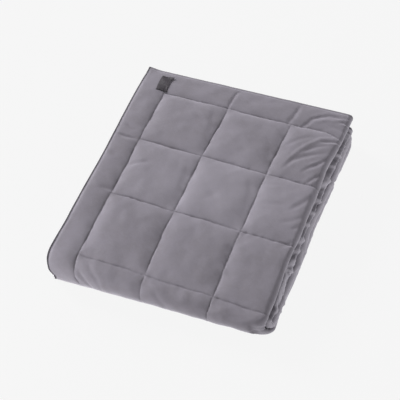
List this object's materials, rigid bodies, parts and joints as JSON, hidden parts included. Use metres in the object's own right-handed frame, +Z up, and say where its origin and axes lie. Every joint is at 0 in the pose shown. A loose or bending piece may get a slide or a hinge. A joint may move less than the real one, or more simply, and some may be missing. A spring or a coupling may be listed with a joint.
{
  "type": "folded velvet bedspread",
  "caption": "Velvet bedspread quilted in squares with a plain border, folded in thirds across and in quarters along, with a small bare woven label.",
  "frame": {"origin": "centre of the folded pile's bounding box, on the surface that it lies on", "axes": "+Z up, +Y towards the open ends at the back, +X towards the side folds, -Y the round front fold, -X the free side edge"},
  "size_m": [0.5792, 0.6706, 0.1554],
  "materials": {
    "velvet": "short cut pile, grey with a slight violet cast",
    "woven_label": "tightly woven satin label, charcoal, bare"
  },
  "bodies": {
    "root": {"bedspread": "velvet", "label": "woven_label"}
  },
  "joints": []
}
